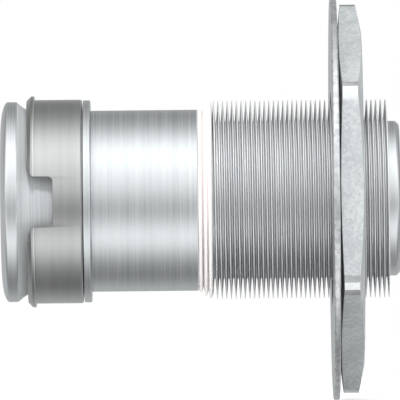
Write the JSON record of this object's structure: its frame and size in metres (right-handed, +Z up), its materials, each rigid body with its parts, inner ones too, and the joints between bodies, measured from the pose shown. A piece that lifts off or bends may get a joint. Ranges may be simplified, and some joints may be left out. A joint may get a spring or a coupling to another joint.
{
  "type": "thru hull fitting",
  "caption": "Hollow threaded hull fitting with a slotted expansion sleeve at one end, clamped by a wide washer and a hexagon nut.",
  "frame": {"origin": "on the fitting's axis, in the plane of the washer's hull-side face", "axes": "+X runs along the axis from the rounded head to the plain spigot, +Z up, +Y away from the viewer of the side with a sleeve slot"},
  "size_m": [0.1286, 0.13, 0.13],
  "materials": {
    "turned_steel": "bright, finely turned around the axis",
    "sleeve_steel": "polished, slightly warm",
    "band_polymer": "soft white",
    "washer_zinc": "rolled, zinc plated",
    "nut_zinc": "speckled zinc plate",
    "seal_rubber": "matt black"
  },
  "bodies": {
    "body": {"threaded_body": "turned_steel", "cone_head": "turned_steel", "head_seal": "seal_rubber", "stop_ring": "turned_steel", "seal_band": "band_polymer"},
    "sleeve": {"expansion_sleeve": "sleeve_steel"},
    "washer": {"flange_washer": "washer_zinc", "washer_seal": "seal_rubber"},
    "nut": {"hex_nut": "nut_zinc"}
  },
  "joints": [
    {"name": "sleeve_turn", "type": "hinge", "parent": "body", "child": "sleeve", "pos_m": [-0.09, 0, 0], "axis": [1, 0, 0], "continuous": true},
    {"name": "washer_slide", "type": "slide", "parent": "body", "child": "washer", "axis": [1, 0, 0], "range_m": [-0.0376, 0.0076]},
    {"name": "nut_turn", "type": "hinge", "parent": "washer", "child": "nut", "pos_m": [0.006, 0, 0], "axis": [1, 0, 0], "range_deg": [-9000, 1800]}
  ],
  "couplings": [
    {"joint": "washer_slide", "follows": "nut_turn", "m_per_rad": 0.00023873}
  ]
}
